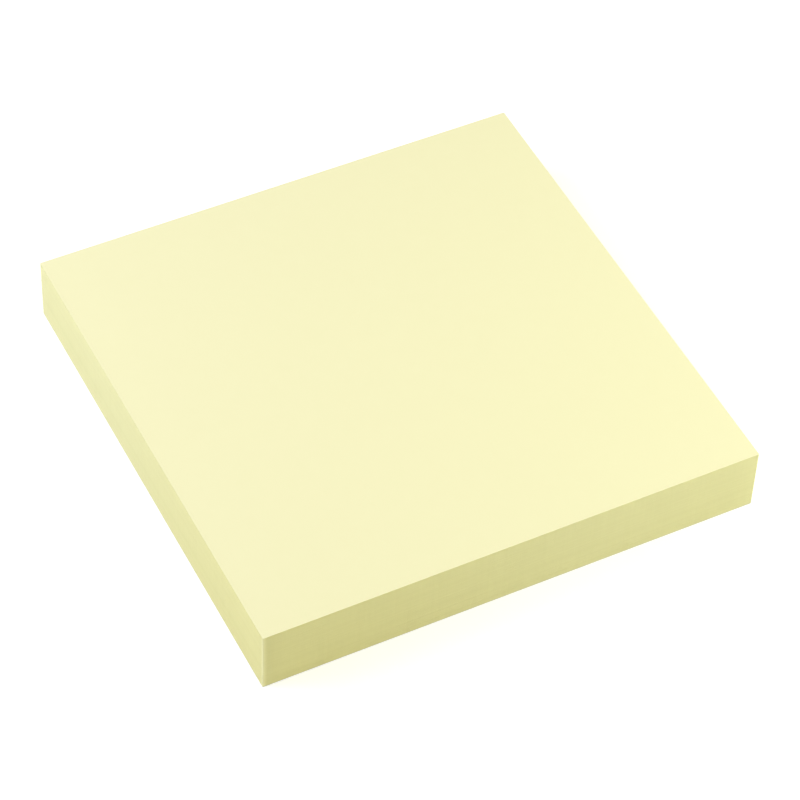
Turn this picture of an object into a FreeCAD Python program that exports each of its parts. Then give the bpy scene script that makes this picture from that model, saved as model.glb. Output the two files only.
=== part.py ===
# Square pad of sticky notes: the stack of notes, the gum under the last note and the backing sheet.
# Origin at the middle of the underside, +Z up. The gummed edge is at +Y and the free edge at -Y.
import FreeCAD, Part
import os
import Sketcher

SIZES = {
    "note_width": 76.0,
    "note_depth": 76.0,
    "note_count": 100,
    "note_thickness": 0.104,
    "backing_thickness": 0.08,
    "corner_wear": 0.18,
    "rim_bevel": 0.02,
    "gum_depth": 18.0,
    "gum_margin": 1.0,
    "gum_thickness": 0.02,
}

doc = FreeCAD.newDocument("sticky_note_pad")
sheet = doc.addObject("Spreadsheet::Sheet", "sizes")
for row, (alias, value) in enumerate(SIZES.items(), start=1):
    sheet.set(f"A{row}", alias)
    sheet.set(f"B{row}", str(value))
    sheet.setAlias(f"B{row}", alias)
doc.recompute()


def origin_feature(body, role):
    return next(feature for feature in body.Origin.OriginFeatures if feature.Role == role)


def outline(body, width, depth, back):
    """A rectangle on the body's XY plane, centred on the Y axis, with its back edge at Y = back.

    Width, depth and back are expressions on the sheet of sizes.
    """
    sketch = body.newObject("Sketcher::SketchObject", "outline")
    sketch.AttachmentSupport = [(origin_feature(body, "XY_Plane"), "")]
    sketch.MapMode = "FlatFace"
    front_left, front_right, back_right, back_left = (
        FreeCAD.Vector(x, y, 0) for x, y in ((-1, -1), (1, -1), (1, 1), (-1, 1))
    )
    front_edge = sketch.addGeometry(Part.LineSegment(front_left, front_right), False)
    right_edge = sketch.addGeometry(Part.LineSegment(front_right, back_right), False)
    back_edge = sketch.addGeometry(Part.LineSegment(back_right, back_left), False)
    left_edge = sketch.addGeometry(Part.LineSegment(back_left, front_left), False)
    start, end = 1, 2
    x_axis, y_axis = -1, -2
    for edge, following in (
        (front_edge, right_edge),
        (right_edge, back_edge),
        (back_edge, left_edge),
        (left_edge, front_edge),
    ):
        sketch.addConstraint(Sketcher.Constraint("Coincident", edge, end, following, start))
    sketch.addConstraint(Sketcher.Constraint("Symmetric", back_edge, start, back_edge, end, y_axis))
    sketch.addConstraint(Sketcher.Constraint("Horizontal", front_edge))
    sketch.addConstraint(Sketcher.Constraint("Vertical", left_edge))
    sketch.addConstraint(Sketcher.Constraint("Vertical", right_edge))
    for name, expression, constraint in (
        ("width", width, Sketcher.Constraint("DistanceX", front_edge, start, front_edge, end, 2.0)),
        ("depth", depth, Sketcher.Constraint("DistanceY", right_edge, start, right_edge, end, 2.0)),
        ("back", back, Sketcher.Constraint("DistanceY", x_axis, start, back_edge, start, 1.0)),
    ):
        sketch.renameConstraint(sketch.addConstraint(constraint), name)
        sketch.setExpression(f"Constraints.{name}", expression)
    doc.recompute()
    return sketch


def edge_names(shape, chosen):
    return [f"Edge{number}" for number, edge in enumerate(shape.Edges, start=1) if chosen(edge)]


def is_upright(edge):
    return edge.BoundBox.ZLength > edge.BoundBox.DiagonalLength / 2


def cut_sheet(body, thickness):
    """One sheet as it is cut and handled: its corners worn, its two rims slightly bevelled."""
    flat_sheet = body.newObject("PartDesign::Pad", "flat_sheet")
    flat_sheet.Profile = outline(
        body, "sizes.note_width", "sizes.note_depth", "sizes.note_depth / 2"
    )
    flat_sheet.setExpression("Length", thickness)
    doc.recompute()

    corners = body.newObject("PartDesign::Chamfer", "worn_corners")
    corners.Base = (flat_sheet, edge_names(flat_sheet.Shape, is_upright))
    corners.setExpression("Size", "sizes.corner_wear")
    doc.recompute()

    rims = body.newObject("PartDesign::Chamfer", "bevelled_rims")
    rims.Base = (corners, edge_names(corners.Shape, lambda edge: not is_upright(edge)))
    rims.setExpression("Size", f"min(sizes.rim_bevel; {thickness} / 3)")
    doc.recompute()
    return rims


# The release paper that the last note peels off, cut together with the notes.
backing = doc.addObject("PartDesign::Body", "backing_sheet")
backing.Tip = cut_sheet(backing, "sizes.backing_thickness")

# The gum under the last note: a thin band along the back edge, kept in from the cut edges.
gum = doc.addObject("PartDesign::Body", "gum_strip")
band = gum.newObject("PartDesign::Pad", "band")
band.Profile = outline(
    gum,
    "sizes.note_width - 2 * sizes.gum_margin",
    "sizes.gum_depth",
    "sizes.note_depth / 2 - sizes.gum_margin",
)
band.setExpression("Length", "sizes.gum_thickness")
gum.Tip = band
gum.setExpression("Placement.Base.z", "sizes.backing_thickness")

# The notes, gummed to each other into one solid: a cut sheet repeated up the stack, where each
# pair of bevelled rims leaves a hairline groove round the pad.
notes = doc.addObject("PartDesign::Body", "note_sheets")
cut_sheet(notes, "sizes.note_thickness")
stack = notes.newObject("PartDesign::LinearPattern", "stack")
stack.TransformMode = "Whole shape"
stack.Direction = (origin_feature(notes, "Z_Axis"), [""])
stack.Mode = "Spacing"
stack.setExpression("Offset", "sizes.note_thickness")
stack.setExpression("Occurrences", "sizes.note_count")
notes.Tip = stack
notes.setExpression("Placement.Base.z", "sizes.backing_thickness + sizes.gum_thickness")

doc.recompute()

for item in doc.Objects:
    if {"Invalid", "Error"} & set(item.State):
        raise RuntimeError(f"{item.Label} failed: {item.State}")
pieces = (notes, gum, backing)
for piece in pieces:
    if piece.Shape.isNull() or not piece.Shape.isValid() or len(piece.Shape.Solids) != 1:
        raise RuntimeError(f"{piece.Label} is not one valid solid")

os.makedirs("parts", exist_ok=True)
for piece in pieces:
    piece.Shape.exportStep(f"parts/{piece.Label}.step")
    print(f"{piece.Label}: {piece.Shape.Volume:.2f} mm3, {piece.Shape.BoundBox}")
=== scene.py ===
import math
import random

import bpy
from mathutils import Matrix, Vector


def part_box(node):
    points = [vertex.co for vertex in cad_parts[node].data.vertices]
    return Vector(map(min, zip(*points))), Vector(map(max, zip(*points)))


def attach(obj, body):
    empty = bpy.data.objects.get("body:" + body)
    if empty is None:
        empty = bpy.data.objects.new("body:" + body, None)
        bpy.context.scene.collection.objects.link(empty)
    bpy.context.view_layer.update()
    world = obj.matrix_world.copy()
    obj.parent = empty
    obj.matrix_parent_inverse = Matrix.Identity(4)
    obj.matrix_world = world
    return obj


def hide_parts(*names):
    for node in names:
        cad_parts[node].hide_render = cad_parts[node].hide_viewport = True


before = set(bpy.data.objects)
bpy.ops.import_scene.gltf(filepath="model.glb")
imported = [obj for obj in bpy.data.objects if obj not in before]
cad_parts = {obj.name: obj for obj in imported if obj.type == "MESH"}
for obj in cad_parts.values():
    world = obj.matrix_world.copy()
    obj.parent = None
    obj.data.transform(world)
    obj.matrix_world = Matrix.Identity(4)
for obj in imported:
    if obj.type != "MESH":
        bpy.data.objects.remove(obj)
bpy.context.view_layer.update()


# Camera: the pad is seen from its free left corner, from well above and some way off, through a
# long lens. The photograph is rolled a little, so the camera is too.
MM = 0.001
AIM = Vector((-0.30, -3.50, 5.0)) * MM
AZIMUTH = math.radians(-28.639)
ELEVATION = math.radians(48.018)
DISTANCE = 480.1 * MM
ROLL = math.radians(2.70)
FOCAL_LENGTH = 151.9
NEAREST_SEEN = 10 * MM

away = Vector((
    math.sin(AZIMUTH) * math.cos(ELEVATION),
    -math.cos(AZIMUTH) * math.cos(ELEVATION),
    math.sin(ELEVATION),
))
camera = bpy.data.objects.new("camera", bpy.data.cameras.new("camera"))
bpy.context.scene.collection.objects.link(camera)
turn = (-away).to_track_quat("-Z", "Y").to_matrix().to_4x4() @ Matrix.Rotation(ROLL, 4, "Z")
camera.matrix_world = Matrix.Translation(AIM + away * DISTANCE) @ turn
camera.data.lens = FOCAL_LENGTH
camera.data.clip_start = NEAREST_SEEN
bpy.context.scene.camera = camera


# Backing sheet: one leaf of off-white release paper under the pad, cut together with the notes.
# Its smooth face is up against the gum and its duller face rests on the desk.
CORNER_RADIUS = 0.15 * MM
CORNER_STEPS = 5
BACKING_RIM = 0.012 * MM
BACKING_COLOUR = (0.80, 0.785, 0.72, 1)
BACKING_CLOUD = (0.83, 0.815, 0.755, 1)
BACKING_CLOUD_SIZE = 2.5 * MM
BACKING_HEIGHT = 0.002 * MM
GRAIN_SIZE = 0.12 * MM


class Value:
    """A socket of a material: sums and products of values add Math nodes to its tree."""

    def __init__(self, socket):
        self.socket = socket
        self.tree = socket.id_data

    def node(self, kind, settings=None, sockets=None, output=None):
        """Adds a node: its settings first, then what its sockets hold or take. Gives one output."""
        made = self.tree.nodes.new("ShaderNode" + kind)
        for name, setting in (settings or {}).items():
            setattr(made, name, setting)
        for name, held in (sockets or {}).items():
            if isinstance(name, int):
                entry = made.inputs[name]
            else:
                entry = next(s for s in made.inputs if s.name == name and s.enabled)
            if isinstance(held, Value):
                self.tree.links.new(held.socket, entry)
            else:
                entry.default_value = held
        return Value(next(s for s in made.outputs if s.enabled and output in (None, s.name)))

    def maths(self, operation, *terms):
        return self.node("Math", {"operation": operation}, dict(enumerate(terms)))

    def __add__(self, other):
        return self.maths("ADD", self, other)

    def __rsub__(self, other):
        return self.maths("SUBTRACT", other, self)

    def __mul__(self, other):
        return self.maths("MULTIPLY", self, other)

    __radd__ = __add__
    __rmul__ = __mul__

    def fades(self, low, high):
        """0 below low, 1 above high and smooth between."""
        limits = {"Value": self, "From Min": low, "From Max": high}
        return self.node("MapRange", {"interpolation_type": "SMOOTHSTEP"}, limits)

    def stretched(self, x, y, z, turn=0):
        """Coordinates that run slower along an axis, which draws a pattern out along it."""
        sockets = {"Vector": self, "Scale": (x, y, z), "Rotation": (0, 0, turn)}
        return self.node("Mapping", None, sockets)

    def noise(self, size, detail=2.0, roughness=0.5):
        """Cloudy noise from 0 to 1, with patches of about that size, in metres."""
        sockets = {"Vector": self, "Scale": 1 / size, "Detail": detail, "Roughness": roughness}
        return self.node("TexNoise", None, sockets)

    def tint(self, first, second):
        """A colour, first where this value is 0 and second where it is 1."""
        sockets = {"Factor": self, "A": first, "B": second}
        return self.node("Mix", {"data_type": "RGBA"}, sockets)

    def bump(self, height):
        return self.node("Bump", None, {"Height": self, "Distance": height}, "Normal")

    def feeds(self, shader, name):
        self.tree.links.new(self.socket, shader.inputs[name])


def new_finish(name, roughness, specular):
    """A new material, its Principled shader and the object coordinates that its patterns read."""
    material = bpy.data.materials.new(name)
    material.use_nodes = True
    shader = material.node_tree.nodes["Principled BSDF"]
    shader.inputs["Roughness"].default_value = roughness
    shader.inputs["Specular IOR Level"].default_value = specular
    coordinates = material.node_tree.nodes.new("ShaderNodeTexCoord")
    return material, shader, Value(coordinates.outputs["Object"])


def lay_first_face(name, low, width, depth):
    """A flat face with rounded corners at the height low, left in edit mode and selected."""
    bpy.ops.object.select_all(action="DESELECT")
    bpy.ops.mesh.primitive_plane_add(size=1, calc_uvs=False, location=(0, 0, low))
    piece = bpy.context.active_object
    piece.name = name
    piece.data.name = name
    piece.scale = (width, depth, 1)
    bpy.ops.object.transform_apply(location=True, rotation=True, scale=True)
    bpy.ops.object.mode_set(mode="EDIT")
    bpy.ops.mesh.select_all(action="SELECT")
    bpy.ops.mesh.bevel(offset=CORNER_RADIUS, segments=CORNER_STEPS, affect="VERTICES")
    bpy.ops.mesh.select_all(action="SELECT")
    return piece


def raise_face(rise, spread, width, depth, shift=(0, 0)):
    """Extrudes the selected face upwards, then spreads it by that much all round and shifts it."""
    bpy.ops.mesh.extrude_region_move(TRANSFORM_OT_translate={"value": (0, 0, rise)})
    growth = (1 + 2 * spread / width, 1 + 2 * spread / depth, 1)
    bpy.ops.transform.resize(value=growth, center_override=(0, 0, 0))
    if any(shift):
        bpy.ops.transform.translate(value=(*shift, 0))


backing_low, backing_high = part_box("backing_sheet")
backing_width = backing_high.x - backing_low.x
backing_depth = backing_high.y - backing_low.y
backing_thickness = backing_high.z - backing_low.z
foot_width = backing_width - 2 * BACKING_RIM
foot_depth = backing_depth - 2 * BACKING_RIM
backing = lay_first_face("backing_sheet_laid", backing_low.z, foot_width, foot_depth)
raise_face(BACKING_RIM, BACKING_RIM, backing_width, backing_depth)
raise_face(backing_thickness - 2 * BACKING_RIM, 0, backing_width, backing_depth)
raise_face(BACKING_RIM, -BACKING_RIM, backing_width, backing_depth)
bpy.ops.object.mode_set(mode="OBJECT")

release_paper, shader, place = new_finish("release_paper", roughness=0.55, specular=0.4)
cloud = place.noise(BACKING_CLOUD_SIZE, detail=4)
cloud.tint(BACKING_COLOUR, BACKING_CLOUD).feeds(shader, "Base Color")
place.noise(GRAIN_SIZE, detail=3).bump(BACKING_HEIGHT).feeds(shader, "Normal")
backing.data.materials.append(release_paper)
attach(backing, "root")
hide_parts("backing_sheet")


# Gum: a film of tiny low-tack beads in a band along the back edge, dried dull and nearly clear.
# It is shut in between the last note and the backing sheet.
BEAD_SIZE = 0.09 * MM
BEAD_HEIGHT = 0.01 * MM
BEAD_COLOUR = (0.78, 0.77, 0.66, 1)
BETWEEN_BEADS = (0.88, 0.87, 0.78, 1)

gum_paint, shader, place = new_finish("gum_film", roughness=0.5, specular=0.5)
from_bead = place.node("TexVoronoi", None, {"Vector": place, "Scale": 1 / BEAD_SIZE}, "Distance")
from_bead.tint(BEAD_COLOUR, BETWEEN_BEADS).feeds(shader, "Base Color")
(1 - from_bead).bump(BEAD_HEIGHT).feeds(shader, "Normal")
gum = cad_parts["gum_strip"]
gum.data.materials.clear()
gum.data.materials.append(gum_paint)


# Notes: a hundred leaves of pale-yellow writing paper, gummed to each other along the back edge and
# trimmed as one block, so each cut edge shows as a fine line round the pad. The leaves sway a little.
# The cut edges have a painted highlight along the front-left vertical edge, and a painted shade tint
# that turns them yellower towards the front-left corner.
NOTE_COUNT = 100
EDGE_CUTS = 23
GROOVE = 0.018 * MM
RIM_RANGE = (0.012, 0.022)
SHEET_PLAY = 0.008 * MM
SWAY = 0.09 * MM
SWAY_LENGTH = 13 * MM
LEVEL_NORMAL = 0.9
SHARP_ANGLE = math.radians(24)
FACE_COLOUR = (0.918, 0.877, 0.520, 1)
FACE_CLOUD = (0.930, 0.889, 0.536, 1)
FACE_CLOUD_SIZE = 2.2 * MM
FACE_HEIGHT = 0.0016 * MM
FIBRE_WIDTH = 0.05 * MM
FIBRE_DRAW = 0.18
FIBRE_TURN = math.radians(12)
CROSS_FIBRE_TURN = math.radians(-25)
# Cut edges darker and yellower than the face: partly cut paper's deeper tone, partly painted shade.
EDGE_COLOUR = (0.768, 0.737, 0.374, 1)
EDGE_CLOUD = (0.830, 0.802, 0.434, 1)
EDGE_HEIGHT = 0.003 * MM
EDGE_GRAIN_SIZE = 0.04 * MM
EDGE_GRAIN_SHARE = 0.5
KNIFE_WIDTH = 0.35 * MM
KNIFE_DRAW = 0.03
KNIFE_SHARE = 0.6
# Painted shade tint: the cut edges turn yellower and a little darker towards the front-left corner.
SHADE_TINT = (1.0, 0.985, 0.88, 1)
SHADE_TINT_REACH = 56 * MM
# Painted highlight: a paler strip of the cut edges along the front-left vertical edge.
CORNER_HIGHLIGHT_COLOUR = (0.970, 0.940, 0.530, 1)
HIGHLIGHT_ON_FREE_EDGE = 0.7 * MM
HIGHLIGHT_ON_LEFT_SIDE = 0.45 * MM
FULL_HIGHLIGHT_INSET = 0.05 * MM
MAP_PIXELS = 1024
MAP_GAP = 12
SEED = 12
random.seed(SEED)

stack_low, stack_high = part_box("note_sheets")
block_width = stack_high.x - stack_low.x - 2 * SHEET_PLAY
block_depth = stack_high.y - stack_low.y - 2 * SHEET_PLAY
stack_height = stack_high.z - stack_low.z
pitch = stack_height / NOTE_COUNT
foot_width = block_width - 2 * GROOVE
foot_depth = block_depth - 2 * GROOVE
notes = lay_first_face("note_stack", stack_low.z, foot_width, foot_depth)

# The four long edges are divided, so that each leaf can sway along them.
bpy.ops.mesh.select_all(action="DESELECT")
bpy.ops.object.mode_set(mode="OBJECT")
for edge in notes.data.edges:
    ends = [notes.data.vertices[number].co for number in edge.vertices]
    edge.select = (ends[0] - ends[1]).length > block_width / 2
bpy.ops.object.mode_set(mode="EDIT")
bpy.ops.mesh.select_mode(type="EDGE")
bpy.ops.mesh.subdivide(number_cuts=EDGE_CUTS)
bpy.ops.mesh.select_mode(type="FACE")
bpy.ops.mesh.select_all(action="SELECT")

# Each leaf has a rim below and above its cut edge, and lies a hair out of line with the others.
for _ in range(NOTE_COUNT):
    shift = [random.uniform(-1, 1) * SHEET_PLAY for _ in range(2)]
    lower_rim = random.uniform(*RIM_RANGE) * MM
    upper_rim = random.uniform(*RIM_RANGE) * MM
    raise_face(lower_rim, GROOVE, block_width, block_depth, shift)
    raise_face(pitch - lower_rim - upper_rim, 0, block_width, block_depth)
    raise_face(upper_rim, -GROOVE, block_width, block_depth, [-step for step in shift])
bpy.ops.object.mode_set(mode="OBJECT")

# Each leaf also has a tone of its own, which the material of the cut edges reads.
tones = [random.random() for _ in range(NOTE_COUNT)]
sheet_tone = notes.data.attributes.new("sheet_tone", "FLOAT", "FACE")
for face, tone in zip(notes.data.polygons, sheet_tone.data):
    number = int((face.center.z - stack_low.z) / pitch)
    tone.value = tones[min(number, NOTE_COUNT - 1)]

# This map is laid out for baking the finish. The four cut sides are strips, with a row of pixels
# to each leaf. The top is above them at the left, and the hidden underside is at its right.
strip_step = NOTE_COUNT + MAP_GAP
strip_length = MAP_PIXELS - 2 * MAP_GAP
over_strips = MAP_GAP + 4 * strip_step
top_size = MAP_PIXELS - MAP_GAP - over_strips
underside_left = 2 * MAP_GAP + top_size
underside_size = MAP_PIXELS - MAP_GAP - underside_left


def spot_on_map(normal, point):
    """Where a face's corner is on the map, in pixels, with each side as it is seen from outside."""
    x_share = point.x / block_width + 0.5
    y_share = point.y / block_depth + 0.5
    if normal.z > LEVEL_NORMAL:
        return MAP_GAP + x_share * top_size, over_strips + y_share * top_size
    if normal.z < -LEVEL_NORMAL:
        up = over_strips + (1 - y_share) * underside_size
        return underside_left + x_share * underside_size, up
    if abs(normal.y) > abs(normal.x):
        strip, along = (3, 1 - x_share) if normal.y > 0 else (2, x_share)
    else:
        strip, along = (1, y_share) if normal.x > 0 else (0, 1 - y_share)
    row = strip * strip_step + (point.z - stack_low.z) / pitch
    return MAP_GAP + along * strip_length, MAP_GAP + row


paper_map = notes.data.uv_layers.new(name="OFBake", do_init=False)
for face in notes.data.polygons:
    for corner in face.loop_indices:
        point = notes.data.vertices[notes.data.loops[corner].vertex_index].co
        spot = spot_on_map(face.normal, point)
        paper_map.uv[corner].vector = [pixels / MAP_PIXELS for pixels in spot]

# The leaves sway most half-way up the block, and not at all at its top and bottom.
within = notes.vertex_groups.new(name="within_the_block")
for vertex in notes.data.vertices:
    share = (vertex.co.z - stack_low.z) / stack_height
    within.add([vertex.index], 4 * share * (1 - share), "REPLACE")
waves = bpy.data.textures.new("sheet_waves", "CLOUDS")
waves.noise_scale = SWAY_LENGTH
sway = notes.modifiers.new("sway", "DISPLACE")
sway.texture = waves
sway.texture_coords = "LOCAL"
sway.direction = "Z"
sway.strength = SWAY
sway.vertex_group = within.name
bpy.ops.object.modifier_apply(modifier=sway.name)
notes.vertex_groups.clear()
bpy.ops.object.shade_smooth_by_angle(angle=SHARP_ANGLE)

note_face, shader, place = new_finish("note_paper_face", roughness=0.8, specular=0.25)
cloud = place.noise(FACE_CLOUD_SIZE, detail=5, roughness=0.6)
cloud.tint(FACE_COLOUR, FACE_CLOUD).feeds(shader, "Base Color")
fibres = place.stretched(1, FIBRE_DRAW, 1, FIBRE_TURN).noise(FIBRE_WIDTH)
fibres = fibres + place.stretched(FIBRE_DRAW, 1, 1, CROSS_FIBRE_TURN).noise(FIBRE_WIDTH)
(fibres + place.noise(GRAIN_SIZE, detail=3)).bump(FACE_HEIGHT).feeds(shader, "Normal")

note_edge, shader, place = new_finish("note_paper_edge", roughness=0.9, specular=0.15)
knife_marks = place.stretched(1, 1, KNIFE_DRAW).noise(KNIFE_WIDTH, detail=4, roughness=0.65)
tone = place.node("Attribute", {"attribute_name": "sheet_tone"}, None, "Fac")
cut = (KNIFE_SHARE * knife_marks + (1 - KNIFE_SHARE) * tone).tint(EDGE_COLOUR, EDGE_CLOUD)
# Painted shade: the cut edges are tinted yellower towards the front-left corner, fading with distance.
shade_tint_corner = (-block_width / 2, -block_depth / 2, stack_low.z)
reach = place.node("VectorMath", {"operation": "DISTANCE"}, {0: place, 1: shade_tint_corner}, "Value")
shade_tinting = {"Factor": 1 - reach.fades(0, SHADE_TINT_REACH), "A": cut, "B": SHADE_TINT}
cut = place.node("Mix", {"data_type": "RGBA", "blend_type": "MULTIPLY"}, shade_tinting)
# Painted highlight: the cut edges are painted paler along the front-left vertical edge.
leftwards = 0 - place.node("SeparateXYZ", None, {"Vector": place}, "X")
forwards = 0 - place.node("SeparateXYZ", None, {"Vector": place}, "Y")
left = block_width / 2
front = block_depth / 2
painted_highlight = leftwards.fades(left - HIGHLIGHT_ON_FREE_EDGE, left)
painted_highlight = painted_highlight * forwards.fades(front - HIGHLIGHT_ON_LEFT_SIDE, front - FULL_HIGHLIGHT_INSET)
painted_highlight.tint(cut, CORNER_HIGHLIGHT_COLOUR).feeds(shader, "Base Color")
roughened = knife_marks + EDGE_GRAIN_SHARE * place.noise(EDGE_GRAIN_SIZE)
roughened.bump(EDGE_HEIGHT).feeds(shader, "Normal")
notes.data.materials.append(note_face)
notes.data.materials.append(note_edge)
for face in notes.data.polygons:
    face.use_smooth = abs(face.normal.z) < LEVEL_NORMAL
    face.material_index = 1 if face.use_smooth else 0
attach(notes, "root")
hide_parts("note_sheets")


# Floor and light: a plain white table, open under the pad and clear from below, and three large
# soft lamps: two to the left of the pad, one of them low, and one in front of it to the right. The
# world is brighter below the table, which lights the underside of the pad.
FLOOR_HALF = 1.5
FLOOR_GAP = 0.01 * MM
REST_MARGIN = 0.1 * MM
FLOOR_COLOUR = (0.8, 0.8, 0.8, 1)
FLOOR_GLOW = 0.4
GLOW_START = 0.06
GLOW_END = 0.30
BLACK = (0, 0, 0, 1)
WHITE = (1, 1, 1, 1)
AMBIENT = (0.258, 0.240, 0.205, 1)
UNDER_LIGHT = (0.9, 0.9, 0.9, 1)
LAMP_DISTANCE = 0.35
LAMP_SIZE = 0.25

bpy.ops.object.select_all(action="DESELECT")
bpy.ops.mesh.primitive_plane_add(size=2 * FLOOR_HALF, location=(0, 0, -FLOOR_GAP))
floor = bpy.context.active_object
floor.name = "floor"
bpy.ops.object.transform_apply(location=True, rotation=True, scale=True)
bpy.ops.object.mode_set(mode="EDIT")
bpy.ops.mesh.select_all(action="SELECT")
bpy.ops.mesh.inset(thickness=FLOOR_HALF - block_width / 2 + REST_MARGIN, depth=0)
bpy.ops.mesh.delete(type="FACE")
bpy.ops.object.mode_set(mode="OBJECT")


def seen_directly(beside):
    """1 for what the camera sees, also in a mirror or through glass, and 0 for what lights the pad."""
    seen = beside.node("LightPath", output="Is Camera Ray")
    seen = seen + beside.node("LightPath", output="Is Glossy Ray")
    return seen + beside.node("LightPath", output="Is Transmission Ray")


floor_paint, shader, place = new_finish("floor_white", roughness=0.9, specular=0)
shader.inputs["Base Color"].default_value = FLOOR_COLOUR
shader.inputs["Emission Strength"].default_value = 1
from_pad = place.node("VectorMath", {"operation": "LENGTH"}, {0: place}, "Value")
glow = FLOOR_GLOW + (1 - FLOOR_GLOW) * from_pad.fades(GLOW_START, GLOW_END)
(seen_directly(place) * glow).tint(BLACK, WHITE).feeds(shader, "Emission Color")
below = place.node("NewGeometry", output="Backfacing")
clear = place.node("BsdfTransparent")
lit = Value(shader.outputs["BSDF"])
shown = place.node("MixShader", None, {0: below, 1: lit, 2: clear})
shown.feeds(floor_paint.node_tree.nodes["Material Output"], "Surface")
floor.data.materials.append(floor_paint)

world = bpy.data.worlds.new("studio")
bpy.context.scene.world = world
world.use_nodes = True
background = world.node_tree.nodes["Background"]
background.inputs["Color"].default_value = AMBIENT
ambient = Value(background.outputs["Background"])
direction = ambient.node("TexCoord", output="Generated")
height = ambient.node("SeparateXYZ", None, {"Vector": direction}, "Z")
under_table = height.maths("LESS_THAN", height, 0)
under = ambient.node("Background", None, {"Color": UNDER_LIGHT})
light = ambient.node("MixShader", None, {0: under_table, 1: ambient, 2: under})
white = ambient.node("Background", None, {"Color": WHITE})
shown = ambient.node("MixShader", None, {0: seen_directly(ambient), 1: light, 2: white})
shown.feeds(world.node_tree.nodes["World Output"], "Surface")


def softbox(name, azimuth, elevation, power, colour):
    """A square soft lamp that faces the pad. Azimuth 0 is at +X and 90 at +Y, in degrees."""
    turned = math.radians(azimuth)
    raised = math.radians(elevation)
    flat = LAMP_DISTANCE * math.cos(raised)
    stand = (flat * math.cos(turned), flat * math.sin(turned), LAMP_DISTANCE * math.sin(raised))
    lamp = bpy.data.lights.new(name, "AREA")
    lamp.shape = "SQUARE"
    lamp.size = LAMP_SIZE
    lamp.energy = power
    lamp.color = colour
    box = bpy.data.objects.new(name, lamp)
    bpy.context.scene.collection.objects.link(box)
    box.location = stand
    box.rotation_mode = "QUATERNION"
    box.rotation_quaternion = Vector(stand).to_track_quat("Z", "Y")


softbox("softbox_left", azimuth=150, elevation=40, power=0.77, colour=(0.95, 1.0, 1.2))
softbox("softbox_low", azimuth=180, elevation=15, power=0.215, colour=(0.97, 1.0, 1.1))
softbox("softbox_right", azimuth=330, elevation=30, power=1.145, colour=(0.975, 1.0, 0.93))

bpy.context.scene.view_settings.view_transform = "Standard"
